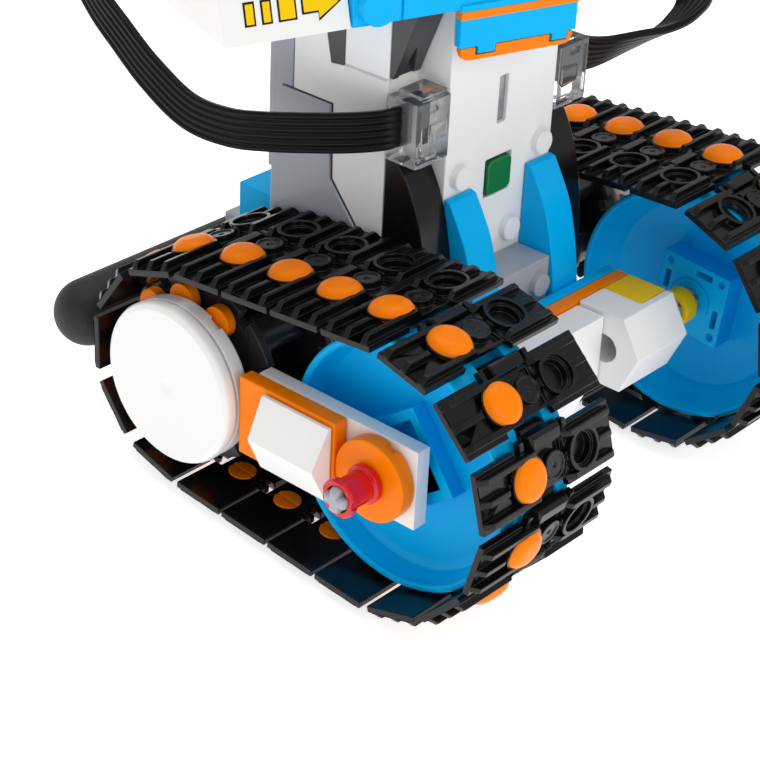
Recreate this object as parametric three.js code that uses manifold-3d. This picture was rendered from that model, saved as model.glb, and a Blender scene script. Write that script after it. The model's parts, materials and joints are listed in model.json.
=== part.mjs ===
// A tracked coding robot built from brick-system pieces on an 8 mm grid.
// Units are millimetres, +Z is up, the robot faces -Y, and the floor is z = 0.
//
// Everything is drawn in the chassis frame: its origin is the front axle at the mid-plane,
// X runs across the robot, Y runs back and Z runs along the hub. The rear wheels are smaller
// than the front ones and both axles lie in one chassis plane, so the whole chassis leans
// back by the angle of the tracks' common tangent and the bottom runs lie flat on the floor.
import * as THREE from "three";
import { mergeVertices } from "three/addons/utils/BufferGeometryUtils.js";
import Module from "manifold-3d";

// ---------------------------------------------------------------- driving dimensions
const stud = 8; // grid pitch
const plateT = 3.2; // thickness of a plate
const fit = 0.2; // clearance left between neighbouring pieces
const wheelBase = 6 * stud;
const frontR = 24.4; // rim of the front wheel
const rearR = 20.2; // circle on which the belt lies at the rear
const lean = Math.asin((frontR - rearR) / wheelBase);

const trackIn = 24.2; // inner and outer edge of a belt, from the mid-plane
const trackOut = 60;
const linkCount = 19;
const linkPitch = 12;
const linkFloor = 2.2; // heights over the line of the link pins
const linkTop = 3.6;
const ribTop = 4.9;
const padTop = 6.2;
const padR = 4.2;
const padX = 48;

const wheelIn = 34;
const wheelOut = 52.3;
const beamIn = 52.8; // side beam, then the orange plates on it
const beamOut = beamIn + plateT;
const sidePlateOut = beamOut + fit + plateT;
const discIn = 59;
const discOut = 62;
const discR = 16;
const axleR = 2.4;

const hubW = 23.7; // half width of the hub, and of its narrow front
const hubNarrowW = 15.8;
const hubFrontY = 22.4;
const hubStepY = hubFrontY + stud;
const hubSplitY = 53.8;
const hubBackY = 59.2;
const hubFloorZ = -17;
const hubTopZ = 55.4;
const neckTopZ = 69.6;
const wall = 1.6;

const tubeY = 82; // rear bumper tube
const tubeZ = -2.2;
const tubeR = 6.75;
const tubeHalf = 57.4;

const waist = { y: 36, turn: THREE.MathUtils.degToRad(-18.5), floor: 70 };
const bodyFrontV = -22; // front of the turning upper body, from its axis
const deckHalf = 33.7;
const panelHalf = 57.8;
const armAxisV = -8;
const armAxisZ = 88;

// ---------------------------------------------------------------- solids
const wasm = await Module();
wasm.setup();

function solid(geometry) {
  const bare = geometry.clone();
  bare.deleteAttribute("normal");
  bare.deleteAttribute("uv");
  const merged = mergeVertices(bare, 1e-4);
  return new wasm.Manifold(
    new wasm.Mesh({
      numProp: 3,
      vertProperties: new Float32Array(merged.attributes.position.array),
      triVerts: new Uint32Array(merged.index.array),
    }),
  );
}

function geometryOf(manifold) {
  const mesh = manifold.getMesh();
  return new THREE.BufferGeometry()
    .setAttribute("position", new THREE.BufferAttribute(new Float32Array(mesh.vertProperties), 3))
    .setIndex(new THREE.BufferAttribute(new Uint32Array(mesh.triVerts), 1));
}

const join = (...parts) => parts.flat().reduce((a, b) => a.add(b));
const cut = (a, ...parts) => parts.flat().reduce((r, b) => r.subtract(b), a);

function box(x0, x1, y0, y1, z0, z1) {
  const g = new THREE.BoxGeometry(Math.abs(x1 - x0), y1 - y0, z1 - z0);
  g.translate((x0 + x1) / 2, (y0 + y1) / 2, (z0 + z1) / 2);
  return solid(g);
}

// A rod from a to b along one axis ("x", "y" or "z"), centred on the other two coordinates.
function rod(axis, r, a, b, p, q, sides = 20, r2 = r) {
  const g = new THREE.CylinderGeometry(r2, r, Math.abs(b - a), sides);
  const mid = (a + b) / 2;
  if (axis === "x") g.rotateZ(b > a ? -Math.PI / 2 : Math.PI / 2).translate(mid, p, q);
  if (axis === "y") g.rotateX(b > a ? 0 : Math.PI).translate(p, mid, q);
  if (axis === "z") g.rotateX(b > a ? Math.PI / 2 : -Math.PI / 2).translate(p, q, mid);
  return solid(g);
}

// A profile of [y, z] points carried along X from x0 to x1.
function prism(points, x0, x1) {
  const lo = Math.min(x0, x1);
  const shape = new THREE.Shape(points.map(([y, z]) => new THREE.Vector2(y, z)));
  const g = new THREE.ExtrudeGeometry(shape, { depth: Math.abs(x1 - x0), bevelEnabled: false });
  g.applyMatrix4(
    new THREE.Matrix4().makeBasis(
      new THREE.Vector3(0, 1, 0),
      new THREE.Vector3(0, 0, 1),
      new THREE.Vector3(1, 0, 0),
    ),
  );
  return solid(g.translate(lo, 0, 0));
}

// A lathe about the X axis through (y, z); the profile is [radius, distance along X].
function turned(profile, side, y, z, sides = 40) {
  const points = profile.map(([r, x]) => new THREE.Vector2(r, x));
  const g = new THREE.LatheGeometry(points, sides);
  g.rotateZ(-Math.PI / 2);
  if (side < 0) g.rotateY(Math.PI);
  return solid(g.translate(0, y, z));
}

const hull = (points) => wasm.Manifold.hull(points);
const studAt = (axis, base, rise, p, q) => rod(axis, 2.4, base, base + rise, p, q, 14);

// ---------------------------------------------------------------- assembly
const finishes = {
  white: 0xf2f2f0,
  black: 0x17181a,
  darkGrey: 0x4b4e53,
  lightGrey: 0xa9adb3,
  azure: 0x0a9bdc,
  orange: 0xff8a1a,
  coral: 0xe0604a,
  yellow: 0xe9bd12,
  red: 0xd8202a,
  green: 0x0a7a34,
  clear: 0xdfe6ea,
  steel: 0x8c9096,
};
const materials = Object.fromEntries(
  Object.entries(finishes).map(([k, c]) => [k, new THREE.MeshStandardMaterial({ color: c })]),
);

const group = new THREE.Group();
const chassis = new THREE.Group();
const upper = new THREE.Group();
group.add(chassis);
chassis.add(upper);
upper.position.set(0, waist.y, 0);
upper.rotation.z = waist.turn;

function add(name, manifold, finish, parent = chassis) {
  const mesh = new THREE.Mesh(geometryOf(manifold), materials[finish]);
  mesh.name = name;
  parent.add(mesh);
}

// The right side of the robot is at -X.
const sides = [
  ["right", -1],
  ["left", 1],
];

// ---------------------------------------------------------------- belt path
// The link pins lie on two arcs and their tangents. The arcs' distance from the wheels' rims
// is the one with which a whole number of equal links closes the loop.
function pinLoop(offset) {
  const rf = frontR + offset;
  const rr = rearR + offset;
  const run = Math.sqrt(wheelBase ** 2 - (rf - rr) ** 2);
  const wrapF = (Math.PI + 2 * lean) * rf;
  const wrapR = (Math.PI - 2 * lean) * rr;
  const total = 2 * run + wrapF + wrapR;
  // s = 0 is the top of the front arc; s grows forwards and down.
  const at = (s) => {
    let t = ((s % total) + total) % total;
    if (t < wrapF) {
      const a = Math.PI / 2 - lean + t / rf;
      return [rf * Math.cos(a), rf * Math.sin(a)];
    }
    t -= wrapF;
    const low = [rf * Math.sin(lean), -rf * Math.cos(lean)];
    if (t < run) return [low[0] + t * Math.cos(lean), low[1] + t * Math.sin(lean)];
    t -= run;
    if (t < wrapR) {
      const a = -Math.PI / 2 + lean + t / rr;
      return [wheelBase + rr * Math.cos(a), rr * Math.sin(a)];
    }
    t -= wrapR;
    const high = [wheelBase + rr * Math.sin(lean), rr * Math.cos(lean)];
    return [high[0] - t * Math.cos(lean), high[1] + t * Math.sin(lean)];
  };
  return { at, total };
}

// The next pin: the point of the loop one link away in a straight line.
function nextPin(loop, s) {
  const [y0, z0] = loop.at(s);
  let lo = linkPitch;
  let hi = linkPitch * 1.3;
  for (let i = 0; i < 40; i++) {
    const mid = (lo + hi) / 2;
    const [y, z] = loop.at(s + mid);
    if (Math.hypot(y - y0, z - z0) < linkPitch) lo = mid;
    else hi = mid;
  }
  return s + (lo + hi) / 2;
}

function walk(offset, start) {
  const loop = pinLoop(offset);
  const pins = [];
  let s = start;
  for (let i = 0; i < linkCount; i++) {
    pins.push(loop.at(s));
    s = nextPin(loop, s);
  }
  return { pins, slack: s - start - loop.total };
}

function fittedOffset(start) {
  let lo = -4;
  let hi = 2;
  for (let i = 0; i < 40; i++) {
    const mid = (lo + hi) / 2;
    if (walk(mid, start).slack > 0) lo = mid;
    else hi = mid;
  }
  return (lo + hi) / 2;
}

// Where each belt's first pin lies along its loop: the two belts stand at different steps.
const loopStart = { right: 2, left: 5.2 };
const pinOffset = fittedOffset(loopStart.right);
const axleZ = frontR + pinOffset + padTop; // height of the front axle over the floor

// Each link's frame: its first pin, its direction and its outward normal.
function linksFrom(start) {
  const { pins } = walk(pinOffset, start);
  return pins.map((a, i) => {
    const b = pins[(i + 1) % linkCount];
    const length = Math.hypot(b[0] - a[0], b[1] - a[1]);
    const t = [(b[0] - a[0]) / length, (b[1] - a[1]) / length];
    return { a, t, n: [t[1], -t[0]] };
  });
}

const onLink = ({ a, t, n }, along, height) => [
  a[0] + along * t[0] + height * n[0],
  a[1] + along * t[1] + height * n[1],
];

function mitre(links, i, height) {
  const [p, q] = [links[(i + linkCount - 1) % linkCount], links[i]];
  const bend = 1 + p.n[0] * q.n[0] + p.n[1] * q.n[1];
  const k = height / bend;
  return [q.a[0] + k * (p.n[0] + q.n[0]), q.a[1] + k * (p.n[1] + q.n[1])];
}

function track(side, links) {
  const outline = links.flatMap((link, i) => [
    mitre(links, i, linkTop),
    onLink(link, 1.6, ribTop),
    onLink(link, linkPitch - 1.6, ribTop),
  ]);
  const inside = links.map((_, i) => mitre(links, i, linkFloor));
  const [x0, x1] = side < 0 ? [-trackOut, -trackIn] : [trackIn, trackOut];
  const band = cut(prism(outline, x0, x1), prism(inside, x0 - 1, x1 + 1));
  const pads = links.map((link) => {
    const ring = Array.from({ length: 8 }, (_, k) => ((k + 0.5) * Math.PI) / 4);
    const at = (r, h) =>
      ring.map((a) => [side * padX + r * Math.cos(a), ...onLink(link, 6 + r * Math.sin(a), h)]);
    return hull([...at(padR, linkTop - 0.5), ...at(padR * 0.8, padTop)]);
  });
  return join(band, pads);
}

// ---------------------------------------------------------------- running gear
const crossHole = (x0, x1, y, r = axleR + 0.3) => rod("x", r, x0, x1, y, 0, 16);

function frontWheel(side) {
  const webIn = 42.1; // inner face of the wheel's middle, and of the square block on it
  const blockIn = 37.5;
  const dish = [
    [axleR + 0.2, webIn],
    [6, webIn],
    [frontR - 1.4, webIn - 2.5],
    [frontR - 1.4, wheelIn],
    [frontR, wheelIn],
    [frontR, wheelOut],
    [frontR - 1.4, wheelOut],
    [frontR - 1.4, wheelOut - 3.4],
    [6, wheelOut - 5],
    [axleR + 0.2, wheelOut - 5],
    [axleR + 0.2, webIn],
  ];
  const frame = (x0, x1, turn) => {
    const square = (h) => {
      const g = new THREE.BoxGeometry(Math.abs(x1 - x0), 2 * h, 2 * h).rotateX(turn);
      return solid(g.translate((side * (x0 + x1)) / 2, 0, 0));
    };
    const inner = new THREE.BoxGeometry(Math.abs(x1 - x0) + 1, 13.2, 13.2).rotateX(turn);
    return cut(square(8), solid(inner.translate((side * (x0 + x1)) / 2, 0, 0)));
  };
  return join(
    turned(dish, side, 0, 0, 30),
    frame(wheelOut - 5.2, wheelOut - 2.6, -0.64),
    frame(blockIn, webIn + 0.1, 0.09),
  );
}

function frontAxle(side) {
  const arm = (w, h) => box(side * 31.2, side * 68.6, -w, w, -h, h);
  return join(arm(0.85, axleR), arm(axleR, 0.85));
}

function bush(side) {
  const x0 = sidePlateOut + 0.2;
  const profile = [
    [axleR + 0.15, x0],
    [3.7, x0],
    [3.7, x0 + 1.4],
    [3, x0 + 1.4],
    [3, x0 + 6.2],
    [3.7, x0 + 6.2],
    [3.7, x0 + 7.7],
    [axleR + 0.15, x0 + 7.7],
    [axleR + 0.15, x0],
  ];
  return turned(profile, side, 0, 0, 20);
}

function sprocket(side) {
  const shaftIn = 20; // inner end of the drive shaft, in the hub
  const body = turned(
    [
      [0, shaftIn],
      [axleR, shaftIn],
      [axleR, 37],
      [19.6, 37],
      [19.6, 38.6],
      [8, 38.6],
      [8, 50.6],
      [17.9, 50.6],
      [17.9, 52.3],
      [7, 52.3],
      [7, 56.6],
      [15.2, 56.6],
      [15.2, 58.2],
      [0, 58.2],
      [0, shaftIn],
    ],
    side,
    wheelBase,
    0,
    24,
  );
  const teeth = Array.from({ length: 6 }, (_, k) => {
    const a = (k * Math.PI) / 3 + 0.3;
    return rod("x", 4, side * 38.4, side * 50.8, wheelBase + 13 * Math.cos(a), 13 * Math.sin(a), 8);
  });
  return join(body, teeth);
}

function capDisc(side) {
  const dome = [
    [0, discIn],
    [discR - 0.4, discIn],
    [discR, discIn + 0.5],
    [discR, discOut - 0.5],
    [discR - 0.5, discOut],
    [1.4, discOut],
    [0, discOut - 0.4],
    [0, discIn],
  ];
  return turned(dome, side, wheelBase, 0, 32);
}

for (const [name, side] of sides) {
  add(`track_${name}`, track(side, linksFrom(loopStart[name])), "black");
  add(`front_wheel_${name}`, frontWheel(side), "azure");
  add(`front_axle_${name}`, frontAxle(side), "steel");
  add(`axle_bush_${name}`, bush(side), "red");
  add(`sprocket_${name}`, sprocket(side), "lightGrey");
  add(`rear_disc_${name}`, capDisc(side), "white");
}

// ---------------------------------------------------------------- side frames
for (const [name, side] of sides) {
  const beam = box(side * beamIn, side * beamOut, -stud, 29.9, -stud, stud);
  add(`side_beam_${name}`, cut(beam, crossHole(side * 50, side * 58, 0)), "white");

  const rib = box(side * (beamOut + fit), side * sidePlateOut, stud + 0.1, 29.9, -stud, stud);
  add(`side_plate_${name}`, rib, "orange");

  const round = rod("x", stud - 0.1, side * (beamOut + fit), side * sidePlateOut, 0, 0, 32);
  add(`round_plate_${name}`, cut(round, crossHole(side * 54, side * 62, 0)), "orange");

  const a = sidePlateOut + fit;
  const skirt = (x) => [
    [side * x, 8.6, -7.8],
    [side * x, 8.6, 7.2],
    [side * x, 24.9, 7.2],
    [side * x, 24.9, -7.8],
  ];
  const ridge = [
    [side * 64, 9.2, -0.6],
    [side * 64, 24.9, -0.6],
  ];
  add(`armour_wedge_${name}`, hull([...skirt(a), ...skirt(a + 0.9), ...ridge]), "white");
}

// ---------------------------------------------------------------- hub
const clearZ = 6; // the hub is narrower below this

function hubFrontShell() {
  const lowW = 21.4;
  const outer = join(
    box(-hubW, hubW, hubStepY, hubSplitY - fit, clearZ, hubTopZ),
    box(-lowW, lowW, hubStepY, hubSplitY - fit, hubFloorZ, clearZ + 1),
    box(-hubNarrowW, hubNarrowW, hubFrontY, hubStepY + 1, hubFloorZ, neckTopZ - 0.2),
    box(-hubW, hubW, hubStepY, 40.6, hubTopZ - 1, neckTopZ - 0.2),
    box(-hubW, -16, 40, hubSplitY - fit, hubTopZ - 1, neckTopZ - 0.2),
    box(16, hubW, 40, hubSplitY - fit, hubTopZ - 1, neckTopZ - 0.2),
  );
  const hollow = join(
    box(-hubW + wall, hubW - wall, hubStepY + wall, hubSplitY + 1, clearZ + wall, hubTopZ - wall),
    box(-lowW + wall, lowW - wall, hubStepY + wall, hubSplitY + 1, hubFloorZ + wall, clearZ + 3),
    box(-12, 12, hubFrontY + wall, hubStepY + 3, hubFloorZ + wall, neckTopZ - 3),
  );
  const slot = box(-1.3, 1.3, hubFrontY - 1, hubFrontY + 4, 42.6, 52);
  const buttonHole = box(-3.9, 3.9, hubFrontY - 1, hubFrontY + 4, 28, 35.8);
  const motorPorts = rod("x", 4, -hubW - 1, hubW + 1, wheelBase, 0, 20);
  const studs = [
    [-12, 35.2],
    [12, 35.2],
    [-4, 19.6],
    [4, 19.6],
  ].map(([x, z]) => studAt("y", hubFrontY + 0.5, -2.2, x, z));
  return join(cut(outer, hollow, slot, buttonHole, motorPorts), studs);
}

function hubRearShell() {
  const outer = join(
    box(-hubW, hubW, hubSplitY, hubBackY - fit, clearZ, neckTopZ - 2),
    box(-21.4, 21.4, hubSplitY, hubBackY - fit, hubFloorZ, clearZ + 1),
  );
  const hollow = box(-20, 20, hubSplitY - 1, hubBackY + 1, 0, 62);
  return cut(outer, hollow);
}

add("hub_front_shell", hubFrontShell(), "white");
add("hub_rear_shell", hubRearShell(), "lightGrey");
add(
  "battery_cover",
  join(
    box(-hubW + 1, hubW - 1, hubBackY, hubBackY + 1.6, 28, neckTopZ - 3),
    box(-6, 6, hubBackY + 1.4, hubBackY + 2.6, 56, 60),
  ),
  "lightGrey",
);
add("battery_pack", box(-19.4, 19.4, 40.5, 57.6, 6, 53), "darkGrey");
add("circuit_board", box(-14.5, 14.5, 33.2, 34.8, -12, 52), "green");
for (const [name, side] of sides) {
  const can = rod("x", 9, side * 1.2, side * 17, 43.9, -5.4, 20);
  const nose = rod("x", 3, side * 16.5, side * 19.4, 43.9, -5.4, 12);
  add(`drive_motor_${name}`, join(can, nose), "steel");
}
add("status_window", box(-1.1, 1.1, hubFrontY + 0.6, hubFrontY + 1.4, 42.8, 51.8), "clear");
add(
  "power_button",
  join(
    box(-3.5, 3.5, hubFrontY - 0.5, hubFrontY + 3, 28.4, 35.4),
    box(-4.8, 4.8, hubFrontY + wall + 0.9, hubFrontY + 3.4, 27, 36.8),
  ),
  "green",
);

// ---------------------------------------------------------------- fins and blocks round the hub
const finY = hubFrontY - fit;
const frontFin = [
  [finY, 31.8],
  [finY - 1.4, 31.4],
  [19, 28.4],
  [16.4, 23.4],
  [14.6, 17.4],
  [13.3, 11],
  [12.6, 5],
  [12.4, -1],
  [finY, -1],
];
const sideFin = [
  [hubStepY - 0.2, 39.6],
  [27.4, 40.2],
  [25, 37.6],
  [22.2, 32],
  [20.4, 25],
  [19.2, 17.5],
  [18.9, 10],
  [hubStepY - 0.2, 10],
];
const topSlope = [
  [hubStepY - 0.2, neckTopZ - 0.2],
  [hubStepY - 0.2, 55.4],
  [hubStepY - 1, 55.4],
  [24, neckTopZ - 0.2],
];
for (const [name, side] of sides) {
  add(`front_fin_${name}`, prism(frontFin, side * 8.1, side * 15.9), "azure");
  add(`side_fin_${name}`, prism(sideFin, side * 16, side * 23.7), "black");
  add(`top_slope_${name}`, prism(topSlope, side * 16.1, side * 23.5), "darkGrey");
}
add(
  "stud_bracket",
  join(
    box(-7.8, 7.8, 14.2, finY, 1, 15),
    studAt("y", 14.7, -2.2, -4, 10.4),
    studAt("y", 14.7, -2.2, 4, 10.4),
  ),
  "lightGrey",
);
add("rear_block", box(-20, 20, hubBackY + 2.8, 71, 9.5, 19.9), "azure");

// ---------------------------------------------------------------- front bar
const barTop = 7.8;
const barHalf = 24.6;
add("front_bar", box(-barHalf, barHalf, 9.8, 12.2, -stud, barTop), "azure");
add("front_bar_plate", box(-barHalf, barHalf, 6.9, 9.6, -stud, barTop), "orange");
add(
  "bumper_block",
  box(-8.2, 8.2, 0.4, 6.7, -stud, barTop - 0.8),
  "white",
);
for (const [name, side] of sides) {
  add(`bar_tile_${name}`, box(side * 16.4, side * barHalf, -2.2, 6.7, 5, barTop), "yellow");
  const outline = [
    [6.7, -stud],
    [6.7, barTop],
    [-4, barTop],
    [-8.4, 0.4],
    [-4.6, -stud],
  ];
  const wedge = cut(
    prism(outline, side * 8.4, side * barHalf),
    box(side * 16.2, side * 26, -2.4, 8, 4.8, 9),
    rod("x", 3, side * 8, side * 25, 0, 0, 16),
  );
  add(`bumper_wedge_${name}`, wedge, "white");
}

// ---------------------------------------------------------------- rear bumper tube
const tubeTurns = 5; // steps round each rounded end
const quarter = Array.from({ length: tubeTurns + 1 }, (_, k) => (k * Math.PI) / 2 / tubeTurns);
const leftEnd = quarter.map((a) => [
  tubeR * Math.sin(a),
  tubeR - tubeHalf - tubeR * Math.cos(a),
]);
const rightEnd = leftEnd.map(([r, d]) => [r, -d]).reverse();
add("rear_bumper", turned([...leftEnd, ...rightEnd], 1, tubeY, tubeZ, 28), "black");
const saddle = rod("x", tubeR + fit, -17, 17, tubeY, tubeZ, 28);
add("bumper_bracket", cut(box(-16, 16, hubBackY + fit, 79, -6, 9.2), saddle), "lightGrey");

// ---------------------------------------------------------------- neck motor on the hub
const motorZ = [hubTopZ + fit, 97];
add(
  "neck_motor",
  join(
    box(-12, 12, 46.4, 62, neckTopZ, motorZ[1]),
    box(-15.4, 15.4, 46.4, hubSplitY - fit, motorZ[0], neckTopZ + 1),
    studAt("z", motorZ[1] - 0.5, 2.2, -4, 54),
    studAt("z", motorZ[1] - 0.5, 2.2, 4, 54),
  ),
  "white",
);

// ---------------------------------------------------------------- plugs and ribbon cables
const plugZ = 48;
for (const [name, side] of sides) {
  const body = join(
    box(side * 16, side * 24.3, 22.9, 29.7, plugZ - 6.6, plugZ + 6.6),
    box(side * 16, side * 22.4, 23.6, 29, plugZ - 7.5, plugZ + 7.5),
  );
  add(`port_plug_${name}`, body, "clear");
}

const ribbonW = 7.8;
const ribbonT = 1.7;
// Each cable's middle line, from its plug to the motor on the neck. The broad side stands
// upright at the plug and lies across the robot at the motor; twist says over which share of
// the length it turns.
const ribbons = {
  right: {
    twist: [0.5, 0.95],
    route: [
      [-24.7, 26.3, 48],
      [-26.2, 26.4, 48],
      [-28, 27.4, 47.7],
      [-31, 31.5, 46.8],
      [-34, 39.5, 45],
      [-36.4, 48, 43.2],
      [-38, 56, 41.9],
      [-39.5, 65, 42.6],
      [-40.5, 74.5, 47.6],
      [-40.5, 82.7, 53.1],
      [-40, 89.5, 57.5],
      [-38.5, 97.5, 64.5],
      [-36, 103, 73],
      [-31.5, 104.5, 83],
      [-25, 100, 91],
      [-17, 90.5, 94.8],
      [-10.5, 79, 93.2],
      [-6.8, 69.4, 88.8],
      [-6.1, 65, 87.3],
      [-6, 62.5, 87.2],
    ],
  },
  left: {
    twist: [-0.1, 0.33],
    route: [
      [24.9, 26.3, 48],
      [26.4, 26.3, 48],
      [29.6, 26.2, 47],
      [34.5, 25.8, 46.2],
      [43.7, 25, 46],
      [52.6, 24.3, 46],
      [59, 23.9, 47.4],
      [64.2, 24.4, 50.4],
      [68.6, 30, 54.6],
      [70, 41, 58.4],
      [67.4, 55, 62],
      [61, 69, 66.4],
      [51.5, 81, 72.6],
      [40, 88.5, 80.4],
      [28, 89.6, 87.6],
      [17.6, 84.6, 91.2],
      [10.6, 76, 91],
      [6.9, 69, 88.6],
      [6.1, 65, 87.3],
      [6, 62.5, 87.2],
    ],
  },
};

function ribbon({ route, twist }) {
  const curve = new THREE.CatmullRomCurve3(
    route.map((p) => new THREE.Vector3(...p)),
    false,
    "centripetal",
  );
  const steps = 32;
  const verts = [];
  const faces = [];
  for (let i = 0; i <= steps; i++) {
    const p = curve.getPointAt(i / steps);
    const t = curve.getTangentAt(i / steps);
    const turn = (Math.PI / 2) * THREE.MathUtils.smoothstep(i / steps, ...twist);
    const upright = new THREE.Vector3(0, 0, 1).addScaledVector(t, -t.z).normalize();
    const across = new THREE.Vector3().crossVectors(t, upright);
    const w = upright.multiplyScalar(Math.cos(turn)).addScaledVector(across, Math.sin(turn));
    const n = new THREE.Vector3().crossVectors(t, w);
    for (const [a, b] of [[-1, -1], [1, -1], [1, 1], [-1, 1]]) {
      const q = p.clone().addScaledVector(w, (a * ribbonW) / 2).addScaledVector(n, (b * ribbonT) / 2);
      verts.push(q.x, q.y, q.z);
    }
    if (i === steps) continue;
    for (let k = 0; k < 4; k++) {
      const [a, b] = [4 * i + k, 4 * i + ((k + 1) % 4)];
      faces.push(a, b, b + 4, a, b + 4, a + 4);
    }
  }
  const last = 4 * steps;
  faces.push(0, 2, 1, 0, 3, 2, last, last + 1, last + 2, last, last + 2, last + 3);
  const g = new THREE.BufferGeometry()
    .setAttribute("position", new THREE.BufferAttribute(new Float32Array(verts), 3))
    .setIndex(faces);
  return solid(g);
}
for (const [name] of sides) add(`ribbon_cable_${name}`, ribbon(ribbons[name]), "black");

// ---------------------------------------------------------------- turning upper body
const floorZ = waist.floor + fit;
const deckTop = waist.floor + 6.4;
const chestHalf = 12.3;
add(
  "shoulder_deck",
  join(
    box(-deckHalf, deckHalf, bodyFrontV, 2, floorZ, deckTop),
    box(-chestHalf, chestHalf, bodyFrontV - 0.6, -20.6, 63.2, floorZ + 1),
    box(-8.4, -4.8, bodyFrontV - 0.6, -20.6, 61.8, 64),
    box(7.2, 10.4, bodyFrontV - 0.6, -20.6, 61.8, 64),
    studAt("y", bodyFrontV + 0.5, -2.2, -27.6, 75),
    studAt("y", bodyFrontV + 0.5, -2.2, 27.6, 75),
  ),
  "azure",
  upper,
);
add(
  "chest_plate",
  cut(
    box(-11.8, 11.8, bodyFrontV - 0.2, -20.7, 60.6, 63),
    box(-8.7, -4.5, bodyFrontV - 1, -20, 61.5, 64),
    box(6.9, 10.7, bodyFrontV - 1, -20, 61.5, 64),
  ),
  "orange",
  upper,
);
for (const [name, side] of sides) {
  const tilt = [
    [bodyFrontV, floorZ],
    [2, floorZ],
    [2, 92],
    [bodyFrontV + 7, 92],
  ];
  add(`shoulder_panel_${name}`, prism(tilt, side * (deckHalf + fit), side * panelHalf), "white", upper);
}
add(
  "torso_block",
  join(
    box(-deckHalf, deckHalf, -18, 1.8, deckTop + fit, 101),
    box(-16, 16, -20.4, -17, 80, 97),
    rod("z", 9, 100, 106.6, 0, -8, 24),
  ),
  "white",
  upper,
);
const head = { w: 27, front: -25, back: 12, z0: 107, z1: 148 };
add(
  "head_shell",
  cut(
    hull(
      [[head.w, 0], [head.w - 4, 4]].flatMap(([w, d]) =>
        [-1, 1].flatMap((s) => [
          [s * w, head.front + 4 - d, head.z0 + d],
          [s * w, head.back - 4 + d, head.z0 + d],
          [s * w, head.front + 4 - d, head.z1 - d],
          [s * w, head.back - 4 + d, head.z1 - d],
          [s * (w - d), head.front + 4, head.z0 + 4 - d],
          [s * (w - d), head.back - 4, head.z0 + 4 - d],
          [s * (w - d), head.front + 4, head.z1 - 4 + d],
          [s * (w - d), head.back - 4, head.z1 - 4 + d],
        ]),
      ),
    ),
    box(-20, 20, head.front - 1, head.front + 3, 116, 140),
  ),
  "white",
  upper,
);
add(
  "face_visor",
  join(
    box(-19.8, 19.8, head.front + 0.6, head.front + 2.8, 116.2, 139.8),
    rod("y", 6, head.front + 1, head.front - 2.4, -9, 129, 28),
    rod("y", 6, head.front + 1, head.front - 2.4, 9, 129, 28),
  ),
  "darkGrey",
  upper,
);

// ---------------------------------------------------------------- arms
// The arms stand raised: an upper arm, an elbow, a forearm and two claws.
function arm(side) {
  const x0 = side * (panelHalf + fit + 0.2);
  const x1 = side * (panelHalf + 8);
  const elbowV = armAxisV + 2;
  const elbowZ = armAxisZ + 24;
  const wristZ = elbowZ + 16;
  const limb = (v0, z0, w0, v1, z1, w1) =>
    prism([[v0 - w0, z0], [v0 + w0, z0], [v1 + w1, z1], [v1 - w1, z1]], x0, x1);
  const palmV = elbowV - 5;
  const claw = (s) =>
    prism(
      [
        [palmV + s, wristZ + 1],
        [palmV + s * 6, wristZ + 1],
        [palmV + s * 7.8, wristZ + 9],
        [palmV + s * 4.8, wristZ + 16],
        [palmV + s * 4.4, wristZ + 5],
      ],
      x0,
      x1,
    );
  const palm = [
    [palmV - 5.4, wristZ],
    [palmV + 5.4, wristZ],
    [palmV + 5.4, wristZ + 3],
    [palmV - 5.4, wristZ + 3],
  ];
  return join(
    rod("x", 8, x0, x1, armAxisV, armAxisZ, 24),
    limb(armAxisV, armAxisZ, 4.6, elbowV, elbowZ, 3.8),
    rod("x", 5, x0, x1, elbowV, elbowZ, 20),
    limb(elbowV, elbowZ, 3.8, palmV, wristZ + 1, 3.4),
    prism(palm, x0, x1),
    claw(1),
    claw(-1),
  );
}
for (const [name, side] of sides) add(`arm_${name}`, arm(side), "coral", upper);

// ---------------------------------------------------------------- stand it on the floor
const bodyMiddleY = 29.67; // middle of the footprint, from the front axle
chassis.rotation.x = -lean;
chassis.position.set(0, -bodyMiddleY, axleZ);

export default group;
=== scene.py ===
"""Looks of the tracked coding robot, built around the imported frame.

Shapes are drawn in millimetres, in the chassis frame or in the turned upper body's frame, and
are set down in metres where the frame's joints say. Paired pieces are drawn once for the left
side, where X points away from the mid-plane, and mirrored for the right side.
"""

import json
import math

import bmesh
import bpy
from mathutils import Matrix, Vector


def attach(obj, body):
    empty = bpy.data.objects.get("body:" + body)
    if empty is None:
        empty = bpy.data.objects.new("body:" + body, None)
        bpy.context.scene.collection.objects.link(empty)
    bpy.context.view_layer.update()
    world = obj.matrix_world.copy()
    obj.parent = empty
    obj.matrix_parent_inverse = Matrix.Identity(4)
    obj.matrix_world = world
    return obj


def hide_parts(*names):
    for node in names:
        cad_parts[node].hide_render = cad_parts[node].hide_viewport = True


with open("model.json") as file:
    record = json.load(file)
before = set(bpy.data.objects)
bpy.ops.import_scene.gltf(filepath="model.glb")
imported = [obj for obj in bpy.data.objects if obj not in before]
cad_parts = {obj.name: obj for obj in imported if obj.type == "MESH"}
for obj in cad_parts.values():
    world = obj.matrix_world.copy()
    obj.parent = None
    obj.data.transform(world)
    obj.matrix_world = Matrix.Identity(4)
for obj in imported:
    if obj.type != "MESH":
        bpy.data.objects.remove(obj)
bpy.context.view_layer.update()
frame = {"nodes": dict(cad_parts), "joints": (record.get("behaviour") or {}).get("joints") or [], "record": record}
nodes = frame["nodes"]

MM = 0.001
SIDES = (("right", -1), ("left", 1))


# ---------------------------------------------------------------- the two drawing frames
def joint(name):
    return next(j for j in frame["joints"] if j["name"] == name)


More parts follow.
